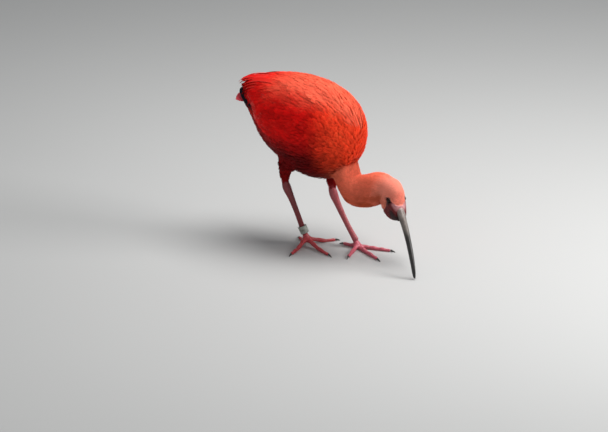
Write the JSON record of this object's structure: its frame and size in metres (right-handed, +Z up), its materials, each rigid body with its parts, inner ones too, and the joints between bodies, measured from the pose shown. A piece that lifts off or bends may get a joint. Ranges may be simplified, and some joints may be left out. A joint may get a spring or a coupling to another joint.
{
  "type": "scarlet ibis",
  "caption": "Life-size still model of a scarlet ibis on its feet, neck held low and level, head turned to its right and the long curved bill down at the ground; a plain ring on the right leg.",
  "frame": {"origin": "on the floor under the middle of the bird's bounding box", "axes": "+X the way the trunk faces, from the tail to the breast; +Y the bird's left; +Z up"},
  "size_m": [0.3786, 0.1528, 0.2856],
  "materials": {
    "plumage": "scarlet contour feathers, matte with a soft sheen",
    "neck_plumage": "short dense orange-salmon feathers",
    "primary_black": "blue-black flight feather tips",
    "bill_horn": "dark grey-brown horn, satin",
    "eye": "dark, wet gloss",
    "leg_skin": "pinkish red scaled skin, satin",
    "claw_horn": "dark horn, satin",
    "ring_plastic": "plain pale grey-green, worn satin"
  },
  "bodies": {
    "root": {"bill_lower": "bill_horn", "bill_upper": "bill_horn", "claw_hind_left": "claw_horn", "claw_hind_right": "claw_horn", "claw_inner_left": "claw_horn", "claw_inner_right": "claw_horn", "claw_middle_left": "claw_horn", "claw_middle_right": "claw_horn", "claw_outer_left": "claw_horn", "claw_outer_right": "claw_horn", "eye_left": "eye", "eye_right": "eye", "foot_left": "leg_skin", "foot_right": "leg_skin", "head": "neck_plumage", "leg_ring": "ring_plastic", "neck_lower": "neck_plumage", "neck_middle": "neck_plumage", "neck_upper": "neck_plumage", "primaries_left": "primary_black", "primaries_right": "primary_black", "shank_left": "leg_skin", "shank_right": "leg_skin", "tail": "plumage", "tarsus_left": "leg_skin", "tarsus_right": "leg_skin", "thigh_left": "plumage", "thigh_right": "plumage", "toe_hind_left": "leg_skin", "toe_hind_right": "leg_skin", "toe_inner_left": "leg_skin", "toe_inner_right": "leg_skin", "toe_middle_left": "leg_skin", "toe_middle_right": "leg_skin", "toe_outer_left": "leg_skin", "toe_outer_right": "leg_skin", "trunk": "plumage", "wing_left": "plumage", "wing_right": "plumage"}
  },
  "joints": []
}
